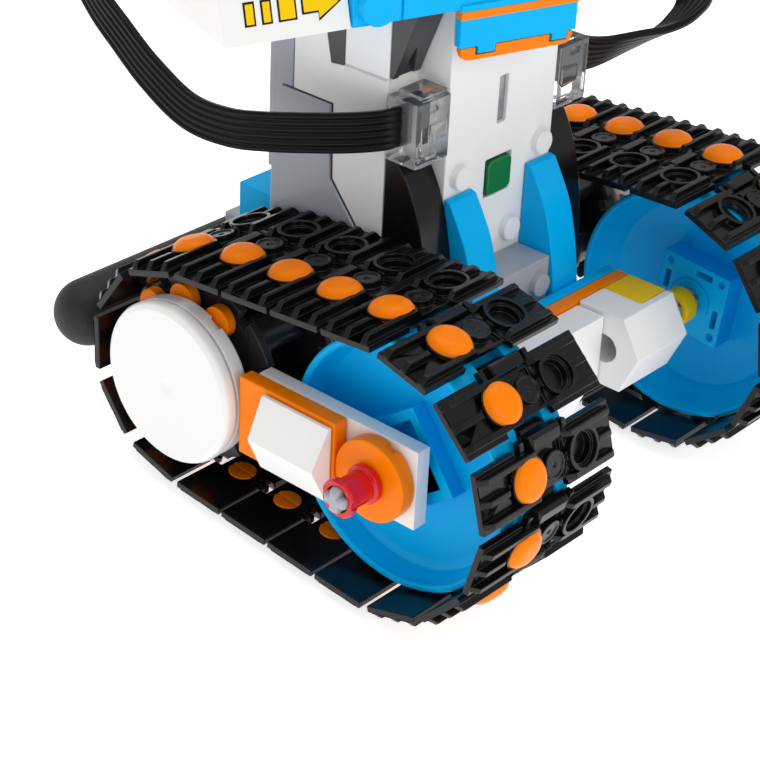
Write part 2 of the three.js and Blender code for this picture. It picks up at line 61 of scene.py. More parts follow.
front_axle = Vector(joint("idler_spin_left")["pos_m"])
rear_axle = Vector(joint("drive_spin_left")["pos_m"])
lean = math.atan2(front_axle.z - rear_axle.z, rear_axle.y - front_axle.y)
CHASSIS = (
    Matrix.Translation((0, front_axle.y, front_axle.z))
    @ Matrix.Rotation(-lean, 4, "X")
    @ Matrix.Scale(MM, 4)
)
WHEEL_BASE = (CHASSIS.inverted() @ Vector((0, rear_axle.y, rear_axle.z))).y
waist = CHASSIS.inverted() @ Vector(joint("waist_turn")["pos_m"])
body_turn = -math.acos(joint("shoulder_left")["axis"][0])
UPPER = CHASSIS @ Matrix.Translation((0, waist.y, 0)) @ Matrix.Rotation(body_turn, 4, "Z")
MIRROR = {1: Matrix.Identity(4), -1: Matrix.Scale(-1, 4, (1, 0, 0))}


# ---------------------------------------------------------------- camera
def add_camera():
    data = bpy.data.cameras.new("camera")
    data.lens = 105.17
    data.sensor_width = 36
    camera = bpy.data.objects.new("camera", data)
    camera.location = (-0.30448, -0.220267, 0.256014)
    camera.rotation_euler = [math.radians(a) for a in (56.30975, -6.26569, -47.92174)]
    bpy.context.scene.collection.objects.link(camera)
    bpy.context.scene.camera = camera


add_camera()


# ---------------------------------------------------------------- surfaces
# Noise scales per metre, for the colour, the gloss and the grain.
MOTTLE_SCALE, GLOSS_SCALE, GRAIN_SCALE = 60, 140, 1800


def node_of(tree, kind, **values):
    """A new shader node with its properties and sockets set by name."""
    node = tree.nodes.new(kind)
    for key, value in values.items():
        if key in node.inputs:
            node.inputs[key].default_value = value
        else:
            setattr(node, key, value)
    return node


def noise(tree, coords, scale, detail):
    texture = node_of(tree, "ShaderNodeTexNoise", Scale=scale, Detail=detail)
    tree.links.new(coords.outputs["Object"], texture.inputs["Vector"])
    return texture.outputs["Fac"]


def spread(tree, source, low, high):
    """Maps the middle of a noise to the range from low to high."""
    ranged = node_of(tree, "ShaderNodeMapRange")
    for socket, value in zip(ranged.inputs[1:5], (0.3, 0.7, low, high)):
        socket.default_value = value
    tree.links.new(source, ranged.inputs[0])
    return ranged.outputs[0]


def plastic(name, colour, roughness, grain, mottle, sockets):
    """Moulded plastic: a slightly uneven colour and gloss, and a fine moulded grain."""
    material = bpy.data.materials.new(name)
    material.use_nodes = True
    tree = material.node_tree
    surface = tree.nodes["Principled BSDF"]
    for socket, value in sockets.items():
        surface.inputs[socket].default_value = value
    coords = tree.nodes.new("ShaderNodeTexCoord")
    mix = node_of(tree, "ShaderNodeMix", data_type="RGBA")
    mix.inputs["A"].default_value = (*[c * (1 - mottle) for c in colour], 1)
    mix.inputs["B"].default_value = (*[min(1, c * (1 + mottle)) for c in colour], 1)
    tree.links.new(noise(tree, coords, MOTTLE_SCALE, 4), mix.inputs["Factor"])
    tree.links.new(mix.outputs["Result"], surface.inputs["Base Color"])
    wear = noise(tree, coords, GLOSS_SCALE, 5)
    gloss = spread(tree, wear, roughness - 0.02, roughness + 0.03)
    tree.links.new(gloss, surface.inputs["Roughness"])
    bump = node_of(tree, "ShaderNodeBump", Strength=grain, Distance=0.0002)
    tree.links.new(noise(tree, coords, GRAIN_SCALE, 2), bump.inputs["Height"])
    tree.links.new(bump.outputs["Normal"], surface.inputs["Normal"])
    return material


# Each slot's colour, roughness, grain and mottle, and other shader sockets by name.
FINISHES = {
    "white_plastic": ((0.86, 0.855, 0.845), 0.34, 0.015, 0.008, {}),
    "black_plastic": ((0.004, 0.004, 0.0045), 0.22, 0.05, 0.3, {"Specular IOR Level": 0.3}),
    "dark_grey_plastic": ((0.03, 0.031, 0.035), 0.3, 0.04, 0.1, {}),
    "light_grey_plastic": ((0.37, 0.39, 0.43), 0.32, 0.04, 0.04, {}),
    "azure_plastic": ((0.0, 0.45, 0.9), 0.32, 0.03, 0.04, {"Specular IOR Level": 0.1}),
    "orange_plastic": ((1.0, 0.22, 0.0), 0.3, 0.03, 0.04, {"Specular IOR Level": 0.12}),
    "coral_plastic": ((0.72, 0.13, 0.08), 0.3, 0.04, 0.04, {}),
    "yellow_plastic": ((0.92, 0.58, 0.0), 0.3, 0.03, 0.04, {"Specular IOR Level": 0.15}),
    "red_plastic": ((0.65, 0.004, 0.01), 0.2, 0.03, 0.04, {}),
    "green_plastic": ((0.0, 0.16, 0.025), 0.35, 0.05, 0.04, {}),
    "circuit_green": ((0.0, 0.12, 0.05), 0.4, 0.2, 0.04, {}),
    "clear_plastic": (
        (0.95, 0.97, 0.98),
        0.06,
        0.02,
        0.01,
        {"Transmission Weight": 0.94, "IOR": 1.47},
    ),
    "motor_steel": ((0.36, 0.37, 0.38), 0.36, 0.1, 0.1, {"Metallic": 0.75}),
    "black_foam": ((0.008, 0.008, 0.009), 0.62, 0.6, 0.2, {}),
    "cable_sheath": ((0.004, 0.004, 0.005), 0.3, 0.05, 0.2, {"Specular IOR Level": 0.14}),
}
SURFACES = {name: plastic(name, *finish) for name, finish in FINISHES.items()}


# ---------------------------------------------------------------- solids, as (points, faces)
def box(x0, x1, y0, y1, z0, z1):
    """The points go x first, then y, then z."""
    points = [(x, y, z) for z in (z0, z1) for y in (y0, y1) for x in (x0, x1)]
    faces = [(0, 2, 3, 1), (4, 5, 7, 6), (0, 1, 5, 4), (2, 6, 7, 3), (0, 4, 6, 2), (1, 3, 7, 5)]
    return points, faces


def stack(rings, closed=False):
    """A solid through rings of equal length, its ends capped unless it closes on itself."""
    count, size = len(rings), len(rings[0])
    faces = []
    for i in range(count if closed else count - 1):
        a, b = i * size, ((i + 1) % count) * size
        for k in range(size):
            m = (k + 1) % size
            faces.append((a + k, a + m, b + m, b + k))
    if not closed:
        faces.append(tuple(range(size))[::-1])
        faces.append(tuple(range((count - 1) * size, count * size)))
    return [p for ring in rings for p in ring], faces


AXES = {"x": (1, 2, 0), "y": (0, 2, 1), "z": (0, 1, 2)}


def along(axis, p, q, d):
    """The point at distance d along an axis, at p and q on the other two."""
    point = [0, 0, 0]
    for place, value in zip(AXES[axis], (p, q, d)):
        point[place] = value
    return tuple(point)


def slab(axis, outline, lo, hi):
    """An outline across an axis, carried along it from lo to hi."""
    return stack([[along(axis, p, q, d) for p, q in outline] for d in (lo, hi)])


def circle(r, p=0, q=0, sides=32):
    steps = [2 * math.pi * k / sides for k in range(sides)]
    return [(p + r * math.cos(a), q + r * math.sin(a)) for a in steps]


def rod(axis, r, lo, hi, p=0, q=0, sides=32):
    return slab(axis, circle(r, p, q, sides), lo, hi)


def turned(axis, profile, p=0, q=0, sides=64, closed=False):
    """A profile of (radius, place along the axis) turned about the axis through p, q."""
    rings = [[along(axis, u, v, d) for u, v in circle(r, p, q, sides)] for r, d in profile]
    return stack(rings, closed)


def hull(points):
    """The convex solid round the points."""
    bm = bmesh.new()
    for p in points:
        bm.verts.new(p)
    made = bmesh.ops.convex_hull(bm, input=bm.verts)
    spare = {*made["geom_interior"], *made["geom_unused"]}
    bmesh.ops.delete(bm, geom=list(spare), context="VERTS")
    bmesh.ops.dissolve_limit(bm, angle_limit=0.01, verts=bm.verts, edges=bm.edges)
    bm.verts.index_update()
    shell = [tuple(v.co) for v in bm.verts], [tuple(v.index for v in f.verts) for f in bm.faces]
    bm.free()
    return shell


def moved(shell, matrix):
    return [tuple(matrix @ Vector(p)) for p in shell[0]], shell[1]


def spun(shell, axis, angle, about):
    """A shell turned about the point given, round one axis."""
    there = Matrix.Translation(about)
    return moved(shell, there @ Matrix.Rotation(angle, 4, axis.upper()) @ there.inverted())


# ---------------------------------------------------------------- pieces
SHARP_DEGREES = 32  # an edge that bends more than this is rounded
MERGE_MM = 0.01
FLAT_RADIANS = 0.009  # faces that bend less than this become one


def mesh_of(shells):
    bm = bmesh.new()
    for points, faces in shells:
        made = [bm.verts.new(p) for p in points]
        for face in faces:
            bm.faces.new([made[i] for i in face])
    bmesh.ops.recalc_face_normals(bm, faces=bm.faces)
    mesh = bpy.data.meshes.new("shape")
    bm.to_mesh(mesh)
    bm.free()
    return mesh


def combined(mesh, other, operation):
    """The exact boolean of two meshes."""
    base = bpy.data.objects.new("base", mesh)
    tool = bpy.data.objects.new("tool", other)
    for o in (base, tool):
        bpy.context.scene.collection.objects.link(o)
    change = base.modifiers.new("change", "BOOLEAN")
    change.operation = operation
    change.object = tool
    change.solver = "EXACT"
    change.use_self = True
    made = bpy.data.meshes.new_from_object(
        base.evaluated_get(bpy.context.evaluated_depsgraph_get())
    )
    for o in (base, tool):
        bpy.data.objects.remove(o)
    return made


def carved(shells, holes=()):
    """One clean mesh: the shells joined, then the holes cut out."""
    mesh = mesh_of(shells[:1])
    if len(shells) > 1:
        mesh = combined(mesh, mesh_of(shells[1:]), "UNION")
    if holes:
        mesh = combined(mesh, mesh_of(holes), "DIFFERENCE")
    bm = bmesh.new()
    bm.from_mesh(mesh)
    bmesh.ops.remove_doubles(bm, verts=bm.verts, dist=MERGE_MM)
    bmesh.ops.dissolve_limit(bm, angle_limit=FLAT_RADIANS, verts=bm.verts, edges=bm.edges)
    bm.to_mesh(mesh)
    bm.free()
    return mesh


def soften(obj, edge):
    """Small rounded edges that catch the light, with flat faces kept flat."""
    obj.data.shade_smooth()
    bevel = obj.modifiers.new("edges", "BEVEL")
    bevel.width = edge * MM
    bevel.segments = 2
    bevel.limit_method = "ANGLE"
    bevel.angle_limit = math.radians(SHARP_DEGREES)
    bevel.use_clamp_overlap = False
    bevel.miter_outer = "MITER_ARC"
    obj.modifiers.new("normals", "WEIGHTED_NORMAL").keep_sharp = True


def finish_piece(name, mesh, body, slot, place, edge, replaces):
    mesh.transform(place)
    if place.determinant() < 0:
        mesh.flip_normals()
    obj = bpy.data.objects.new(name, mesh)
    bpy.context.scene.collection.objects.link(obj)
    mesh.materials.clear()
    mesh.materials.append(SURFACES[slot])
    if edge:
        soften(obj, edge)
    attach(obj, body)
    if replaces:
        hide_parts(*replaces)
    return obj


def make(name, body, slot, shells, holes=(), place=CHASSIS, edge=0.18, replaces=()):
    return finish_piece(name, carved(shells, holes), body, slot, place, edge, replaces)


def pair(name, body, slot, shells, holes=(), edge=0.18, replaces=(), frame_of=CHASSIS):
    """The same piece on both sides. A body or a node that ends in _ takes the side's name."""
    for side_name, side in SIDES:
        make(
            f"{name}_{side_name}",
            body + side_name if body.endswith("_") else body,
            slot,
            shells,
            holes,
            frame_of @ MIRROR[side],
            edge,
            [n + side_name if n.endswith("_") else n for n in replaces],
        )


# ---------------------------------------------------------------- ribbon cables
RIBBON_W = 7.8
RIBBON_T = 1.7
WIRES = 6
RIBBONS = {
    "right": {
        "twist": (0.5, 0.95),
        "route": [
            (-24.7, 26.3, 48),
            (-26.2, 26.4, 48),
            (-28, 27.4, 47.7),
            (-31, 31.5, 46.8),
            (-34, 39.5, 45),
            (-36.4, 48, 43.2),
            (-38, 56, 41.9),
            (-39.5, 65, 42.6),
            (-40.5, 74.5, 47.6),
            (-40.5, 82.7, 53.1),
            (-40, 89.5, 57.5),
            (-38.5, 97.5, 64.5),
            (-36, 103, 73),
            (-31.5, 104.5, 83),
            (-25, 100, 91),
            (-17, 90.5, 94.8),
            (-10.5, 79, 93.2),
            (-6.8, 69.4, 88.8),
            (-6.1, 65, 87.3),
            (-6, 62.5, 87.2),
        ],
    },
    "left": {
        "twist": (-0.1, 0.33),
        "route": [
            (24.9, 26.3, 48),
            (26.4, 26.3, 48),
            (29.6, 26.2, 47),
            (34.5, 25.8, 46.2),
            (43.7, 25, 46),
            (52.6, 24.3, 46),
            (59, 23.9, 47.4),
            (64.2, 24.4, 50.4),
            (68.6, 30, 54.6),
            (70, 41, 58.4),
            (67.4, 55, 62),
            (61, 69, 66.4),
            (51.5, 81, 72.6),
            (40, 88.5, 80.4),
            (28, 89.6, 87.6),
            (17.6, 84.6, 91.2),
            (10.6, 76, 91),
            (6.9, 69, 88.6),
            (6.1, 65, 87.3),
            (6, 62.5, 87.2),
        ],
    },
}


def centripetal(points, per_span=24):
    """Points close together on the centripetal Catmull-Rom curve through the route."""
    route = [Vector(p) for p in points]
    route = [2 * route[0] - route[1], *route, 2 * route[-1] - route[-2]]
    line = []
    for a, b, c, d in zip(route, route[1:], route[2:], route[3:]):
        k0, k1, k2 = (math.sqrt((q - p).length) for p, q in ((a, b), (b, c), (c, d)))
        t1 = ((b - a) / k0 - (c - a) / (k0 + k1) + (c - b) / k1) * k1
        t2 = ((c - b) / k1 - (d - b) / (k1 + k2) + (d - c) / k2) * k1
        for step in range(per_span):
            s = step / per_span
            cubic = (2 * b - 2 * c + t1 + t2) * s**3 + (3 * c - 3 * b - 2 * t1 - t2) * s**2
            line.append(cubic + t1 * s + b)
    return [*line, route[-2]]


def evenly(line, count):
    """The line again, as count + 1 points at equal steps of its length."""
    reach = [0]
    for a, b in zip(line, line[1:]):
        reach.append(reach[-1] + (b - a).length)
    spaced, i = [], 0
    for k in range(count + 1):
        target = reach[-1] * k / count
        while i < len(line) - 2 and reach[i + 1] < target:
            i += 1
        share = (target - reach[i]) / (reach[i + 1] - reach[i])
        spaced.append(line[i].lerp(line[i + 1], min(1, share)))
    return spaced


def smooth_share(value, low, high):
    """How far a value has come from low to high, from 0 to 1, eased at both ends."""
    x = max(0, min(1, (value - low) / (high - low)))
    return x * x * (3 - 2 * x)


def ribbon_section():
    """Six wires side by side in one sheath: (across, proud) round the whole outline."""
    wire = RIBBON_W / WIRES
    valley, crest = 0.62 * RIBBON_T / 2, RIBBON_T / 2
    top = []
    for k in range(WIRES):
        middle = -RIBBON_W / 2 + (k + 0.5) * wire
        for step in range(6):
            share = step / 6
            lift = math.sin(math.pi * share) ** 0.7
            top.append((middle + (share - 0.5) * wire, valley + (crest - valley) * lift))
    return [*top, *[(-a, -b) for a, b in top]]


def ribbon_cable(name, twist, route):
    """A flat cable along its route, upright at first, laid flat over the twist's share of it."""
    steps = 180
    line = evenly(centripetal(route), steps)
    section = ribbon_section()
    rings = []
    for i, p in enumerate(line):
        ahead = (line[min(i + 1, steps)] - line[max(i - 1, 0)]).normalized()
        turn = math.pi / 2 * smooth_share(i / steps, *twist)
        upright = (Vector((0, 0, 1)) - ahead * ahead.z).normalized()
        across = ahead.cross(upright)
        wide = upright * math.cos(turn) + across * math.sin(turn)
        proud = ahead.cross(wide)
        rings.append([tuple(p + wide * a + proud * b) for a, b in section])
    cable = finish_piece(
        f"ribbon_{name}",
        mesh_of([stack(rings)]),
        "chassis",
        "cable_sheath",
        CHASSIS,
        0,
        [f"ribbon_cable_{name}"],
    )
    cable.data.shade_smooth()


for side_name, side in SIDES:
    ribbon_cable(side_name, **RIBBONS[side_name])


# ---------------------------------------------------------------- belts
FRONT_R = 24.4  # the front wheel's radius, under the belt
REAR_R = 20.2  # the same at the rear
PIN_OFFSET = -1.0646773  # from those radii to the line of pins, so that the links close the loop
LINKS = 19
PITCH = 12
LINK_MIDDLE = PITCH / 2
BELT_IN, BELT_OUT = 24.2, 60
RING_X = 33.2  # the collared hole
BOSS_X = 41  # the small round boss
PAD_X = 48  # the grip pad
PAD_R = 4.2
LOOP_START = {"right": 2, "left": 5.2}  # where on its loop each belt's first pin lies


def pin_loop(s):
    """The place (y, z) at distance s along the belt's line of pins, from the front arc's top."""
    rf, rr = FRONT_R + PIN_OFFSET, REAR_R + PIN_OFFSET
    run = math.sqrt(WHEEL_BASE**2 - (rf - rr) ** 2)
    wrap_f, wrap_r = (math.pi + 2 * lean) * rf, (math.pi - 2 * lean) * rr
    s %= 2 * run + wrap_f + wrap_r
    if s < wrap_f:
        a = math.pi / 2 - lean + s / rf
        return rf * math.cos(a), rf * math.sin(a)
    s -= wrap_f
    if s < run:
        y, z = rf * math.sin(lean), -rf * math.cos(lean)
        return y + s * math.cos(lean), z + s * math.sin(lean)
    s -= run
    if s < wrap_r:
        a = lean - math.pi / 2 + s / rr
        return WHEEL_BASE + rr * math.cos(a), rr * math.sin(a)
    s -= wrap_r
    y, z = WHEEL_BASE + rr * math.sin(lean), rr * math.cos(lean)
    return y - s * math.cos(lean), z + s * math.sin(lean)


def next_pin(s):
    """The distance along the loop of the pin that is one straight pitch ahead."""
    y, z = pin_loop(s)
    low, high = PITCH, 1.3 * PITCH
    for _ in range(40):
        middle = (low + high) / 2
        y1, z1 = pin_loop(s + middle)
        if math.hypot(y1 - y, z1 - z) < PITCH:
            low = middle
        else:
            high = middle
    return s + low


def link_places(start, side):
    """Each link's own frame: X outwards, Y to the next pin, Z away from the wheels."""
    places, s = [], start
    for _ in range(LINKS):
        a, s = pin_loop(s), next_pin(s)
        b = pin_loop(s)
        t = Vector((0, b[0] - a[0], b[1] - a[1])).normalized()
        columns = (Vector((side, 0, 0)), t, Vector((0, t.z, -t.y)), Vector((0, *a)))
        places.append(Matrix([c.to_4d() for c in columns]).transposed())
    for place in places:
        place[3] = (0, 0, 0, 1)
    return places


def rib(y, x0, x1):
    """A grip bar across a link, with both ends sloped down to the plate."""
    top, slope, width = 4.9, 1.2, 1.15
    outline = [(x0, 3.2), (x0, 3.5), (x0 + slope, top), (x1 - slope, top), (x1, 3.5), (x1, 3.2)]
    return slab("y", outline, y - width / 2, y + width / 2)


def link_shapes():
    """One belt link, its pin at y 0: the plate, ribs, hinge and bosses, and what is cut out."""
    gap, floor, top = 0.4, 2.2, 3.5
    middle = LINK_MIDDLE
    open_half = [(x, y) for x, y in circle(2.75, RING_X, middle) if x > RING_X + 0.6]
    solid = [
        box(49.6, BELT_OUT, gap, PITCH - gap, floor, top),
        box(BELT_IN, 37.2, gap, PITCH - gap, floor, top),
        box(36.8, 50, 1.9, 10.1, floor, top - 0.3),
        *[rib(y, 45, 59.9) for y in (2, 10)],
        rib(middle, 52.4, 59.9),
        *[rib(y, 24.4, 37.6) for y in (2, 10)],
        rib(middle, 24.4, 30.2),
        rod("z", 4.1, floor, 4.9, RING_X, middle),
        rod("z", 2.6, 3, 4.5, BOSS_X, middle),
        rod("z", 4.4, 3, 4.5, PAD_X, middle),
        box(43, 44.6, 5.2, 6.8, 3, 4.1),
        box(37, 39, 5.2, 6.8, 3, 4.1),
        hull(
            [
                *[(x, y, floor - 0.2) for x in (37.5, 46.5) for y in (-0.9, 1.7)],
                *[(x, y, 4.3) for x in (38.4, 45.6) for y in (-0.3, 1.7)],
                *[(x, -0.9, 3.6) for x in (38, 46)],
            ]
        ),
        *[box(x, x + 1.1, -0.7, 1.8, floor, 3.7) for x in (35.9, 47.4)],
        rod("x", 1.5, 38.9, 45.1, 0, 0, 20),
        box(39.4, 44.6, -0.6, 0.9, 0.4, 2.6),
    ]
    holes = [
        rod("z", 2.75, 2.5, 6, RING_X, middle),
        hull([(x, y, z) for x, y in open_half for z in (1, 3)]),
        rod("z", 3.35, 3.9, 6, RING_X, middle),
        rod("z", 0.55, 4, 5, BOSS_X, middle, 12),
        rod("z", 2.1, 4.25, 5, BOSS_X, middle, 24),
        box(37.9, 39.6, 2.6, 4.7, 2.6, 4),
        box(37.9, 39.6, 7.3, 9.4, 2.6, 4),
        box(50.6, 52.2, 3.2, 4.9, 2.6, 4),
        box(50.6, 52.2, 7.1, 8.8, 2.6, 4),
    ]
    return solid, holes


def repeated(mesh, places):
    """One mesh with a copy at each place."""
    bm = bmesh.new()
    for place in places:
        copy = mesh.copy()
        copy.transform(place)
        if place.determinant() < 0:
            copy.flip_normals()
        bm.from_mesh(copy)
        bpy.data.meshes.remove(copy)
    made = bpy.data.meshes.new("repeated")
    bm.to_mesh(made)
    bm.free()
    return made


def add_belts():
    """Both belts, with a domed grip pad and its plug's underside in each link."""
    link = carved(*link_shapes())
    dome = [(1.6, 6.15), (2.8, 5.85), (3.6, 5.3), (4.05, 4.6), (PAD_R, 4.1), (PAD_R, 3.9)]
    pad = carved([turned("z", [*dome, (3.8, 3.4)], PAD_X, LINK_MIDDLE, 40)])
    cut = box(PAD_X - 0.35, PAD_X + 0.35, 3, 9, 0, 2.15)
    under = carved([rod("z", 2.7, 1.9, 2.6, PAD_X, LINK_MIDDLE)], [cut])
    for side_name, side in SIDES:
        places = link_places(LOOP_START[side_name], side)
        for name, shape, slot, replaced in (
            ("belt", link, "black_plastic", [f"track_{side_name}"]),
            ("grip_pads", pad, "orange_plastic", []),
            ("pad_plugs", under, "orange_plastic", []),
        ):
            mesh = repeated(shape, places)
            finish_piece(f"{name}_{side_name}", mesh, "chassis", slot, CHASSIS, 0.16, replaced)


add_belts()


# ---------------------------------------------------------------- front wheels and their axles
def square_block(half, x0, x1, turn):
    return spun(box(x0, x1, -half, half, -half, half), "x", turn, (0, 0, 0))


def add_front_wheels():
    """Big wheels with two belt tracks, and a square block on each face with its holes."""
    disc = [
        (2.6, 47.3),
        (8, 47.3),
        (19.4, 47.4),
        (21.6, 48.2),
        (22.7, 50.2),
        (22.9, 51.9),
        (23.3, 52.3),
        (24, 52.3),
        (24.4, 51.9),
        (24.4, 45.7),
        (21.6, 45.7),
        (21.6, 38.3),
        (24.4, 38.3),
        (24.4, 34.4),
        (24, 34),
        (23.4, 34),
        (22.9, 34.6),
        (22.4, 36.6),
        (20.9, 38.4),
        (19.6, 40.4),
        (16, 42),
        (9.5, 42.8),
        (2.6, 43.2),
    ]
    outer_turn, inner_turn = -0.64, 0.09
    solid = [
        turned("x", disc, sides=96, closed=True),
        square_block(8.7, 47, 50.7, outer_turn),
        square_block(8, 37.5, 43.8, inner_turn),
    ]
    cells = [
        spun(box(48.4, 52, y, y + 5.7, z, z + 5.7), "x", outer_turn, (0, 0, 0))
        for y in (-6.7, 1)
        for z in (-6.7, 1)
    ]
    slots = [
        spun(box(36, 40.4, *y, *z), "x", inner_turn, (0, 0, 0))
        for y, z in (
            ((-6.8, -5.6), (-4, 0)),
            ((5.6, 6.8), (0, 4)),
            ((-4, 0), (5.6, 6.8)),
            ((0, 4), (-6.8, -5.6)),
        )
    ]
    dimples = [
        spun(rod("x", 0.8, 37, 38.6, y, z, 12), "x", inner_turn, (0, 0, 0))
        for y in (-6.2, 6.2)
        for z in (-6.2, 6.2)
    ]
    bore = [rod("x", 2.55, 30, 60)]
    moulding_tab = spun(box(49.6, 50.9, -1.3, 1.3, 20.4, 22.3), "x", 0.75, (0, 0, 0))
    hub = [rod("x", 3.9, 47, 51.6), rod("x", 4.6, 36.9, 43)]
    pair(
        "front_wheel",
        "wheel_",
        "azure_plastic",
        [*solid, moulding_tab],
        [*cells, *slots, *dimples],
        replaces=["front_wheel_"],
    )
    pair("wheel_boss", "wheel_", "azure_plastic", hub, bore)
    ring = [(2.5, 31.2), (3.5, 31.2), (3.8, 31.5), (3.8, 34.6), (2.5, 34.6)]
    half_bush = turned("x", ring, sides=40, closed=True)
    pair("half_bush", "wheel_", "yellow_plastic", [half_bush])


def cross_outline(r, half):
    """A cross-shaped axle's section, its four ends rounded by a point in the middle."""
    arm = [(r * 0.96, -half), (r, 0), (r * 0.96, half), (half, half)]
    outline = []
    for quarter in range(4):
        c, s = ((1, 0), (0, 1), (-1, 0), (0, -1))[quarter]
        outline += [(p * c - q * s, p * s + q * c) for p, q in arm]
    return outline


def add_axles():
    """The front axles, cross-shaped in section, and the flanged bushes on their outer ends."""
    steps = (
        (31.6, 2.4, 0.92),
        (67.6, 2.4, 0.92),
        (68.2, 2.2, 0.84),
        (68.5, 1.8, 0.7),
        (68.6, 1.2, 0.5),
    )
    axle = stack([[(x, p, q) for p, q in cross_outline(r, half)] for x, r, half in steps])
    pair("front_axle", "wheel_", "light_grey_plastic", [axle], edge=0.12, replaces=["front_axle_"])
    x0 = 59.6
    profile = [
        (2.5, x0),
        (3.4, x0),
        (3.7, x0 + 0.2),
        (3.7, x0 + 1.3),
        (3, x0 + 1.5),
        (3, x0 + 6.1),
        (3.7, x0 + 6.3),
        (3.7, x0 + 7.4),
        (3.4, x0 + 7.7),
        (2.5, x0 + 7.7),
    ]
    windows = [
        spun(box(x0 + 1.9, x0 + 5.7, 2, 4, -0.6, 0.6), "x", turn, (0, 0, 0))
        for turn in (math.radians(a) for a in (35, 215))
    ]
    notches = [
        spun(box(x0 + 6, x0 + 8, 3.3, 4, -0.8, 0.8), "x", k * math.pi / 2, (0, 0, 0)) for k in range(4)
    ]
    pair(
        "axle_bush",
        "wheel_",
        "red_plastic",
        [turned("x", profile, sides=40, closed=True)],
        windows + notches,
        edge=0.12,
        replaces=["axle_bush_"],
    )


# ---------------------------------------------------------------- rear wheels
def notched(profile, teeth, depth, x0, x1):
    """A flange with slots cut in from its rim."""
    r = max(r for r, _ in profile)
    slot = box(x0, x1, r - depth, r + 1, -1.2, 1.2)
    holes = [spun(slot, "x", 2 * math.pi * (k + 0.5) / teeth, (0, 0, 0)) for k in range(teeth)]
    return [turned("x", profile, sides=72)], holes


def add_rear_wheels():
    """Toothed wheels behind white discs, with the round lobes that show between the two."""
    place = Matrix.Translation((0, WHEEL_BASE, 0))

    def put(shells):
        return [moved(s, place) for s in shells]

    inner, inner_slots = notched([(19.4, 37), (19.8, 37.3), (19.8, 38.6)], 12, 2.6, 36, 40)
    outer, outer_slots = notched([(17.6, 50.2), (18.2, 50.6), (18.2, 52.3)], 10, 2.4, 49, 53)
    body = [
        *inner,
        *outer,
        rod("x", 2.4, 20, 57, sides=24),
        rod("x", 8, 37.5, 51.5, sides=48),
        rod("x", 7, 52, 56.6, sides=48),
    ]
    cover = [turned("x", [(15.5, 55.7), (15.9, 56.1), (15.9, 58.8)], sides=72)]
    notch = [spun(box(55, 57.2, -1.4, 1.4, 14.9, 18), "x", 0.48, (0, 0, 0))]
    lobes = [
        rod("x", 3.1, 53.4, 55.5, 14.8 * math.cos(a), 14.8 * math.sin(a), 28)
        for a in (k * math.pi / 5 + 0.14 for k in (0, 1, 2, 3, 7, 8, 9))
    ]
    teeth = [
        rod("x", 4, 38.5, 50.7, 13 * math.cos(a), 13 * math.sin(a), 24)
        for a in (k * math.pi / 3 + 0.3 for k in range(6))
    ]
    pair(
        "sprocket",
        "drive_",
        "dark_grey_plastic",
        put(body + teeth),
        put(inner_slots + outer_slots),
        replaces=["sprocket_"],
    )
    pair("sprocket_cover", "drive_", "white_plastic", put(cover), put(notch))
    pair("sprocket_lobes", "drive_", "orange_plastic", put(lobes))
    rim = [(15.3, 59), (16, 59.5), (16, 60.7), (15.7, 61.4), (14.8, 62)]
    dimple = [(2, 62), (1.2, 61.75), (0.5, 61.7)]
    disc = put([turned("x", rim + dimple, sides=96)])
    pair("rear_disc", "drive_", "white_plastic", disc, replaces=["rear_disc_"])


# ---------------------------------------------------------------- plates on the side beams
def add_round_plates():
    plate = [(7.5, 56.2), (7.9, 56.4), (7.9, 59.2), (7.6, 59.4)]
    edge_notch = spun(box(55, 57.8, 7, 9, -0.9, 0.9), "x", math.radians(112), (0, 0, 0))
    pair(
        "round_plate",
        "chassis",
        "orange_plastic",
        [turned("x", plate, sides=64)],
        [edge_notch, rod("x", 2.7, 55, 61, sides=32)],
        replaces=["round_plate_"],
    )


def add_side_plates():
    bar = [box(56.2, 59.4, 8.2, 31.5, -8, 8)]
    pair("side_bar", "chassis", "orange_plastic", bar, edge=0.3, replaces=["side_plate_"])


add_side_plates()
add_front_wheels()
add_axles()
add_rear_wheels()
add_round_plates()


# ---------------------------------------------------------------- hub
HUB_W = 23.7
HUB_FRONT = 22.4
HUB_STEP = 30.4
HUB_SPLIT = 53.8
HUB_BACK = 59.2
HUB_FLOOR = -17
HUB_TOP = 55.4
NECK_TOP = 69.4
STUD_R = 2.4


def stud(axis, base, rise, p, q):
    """A round coupling stud with a softened rim."""
    end = base + rise
    rim = end - math.copysign(0.25, rise)
    rings = ((STUD_R, base), (STUD_R, rim), (STUD_R - 0.25, end))
    return stack([[along(axis, u, v, d) for u, v in circle(r, p, q, 32)] for r, d in rings])


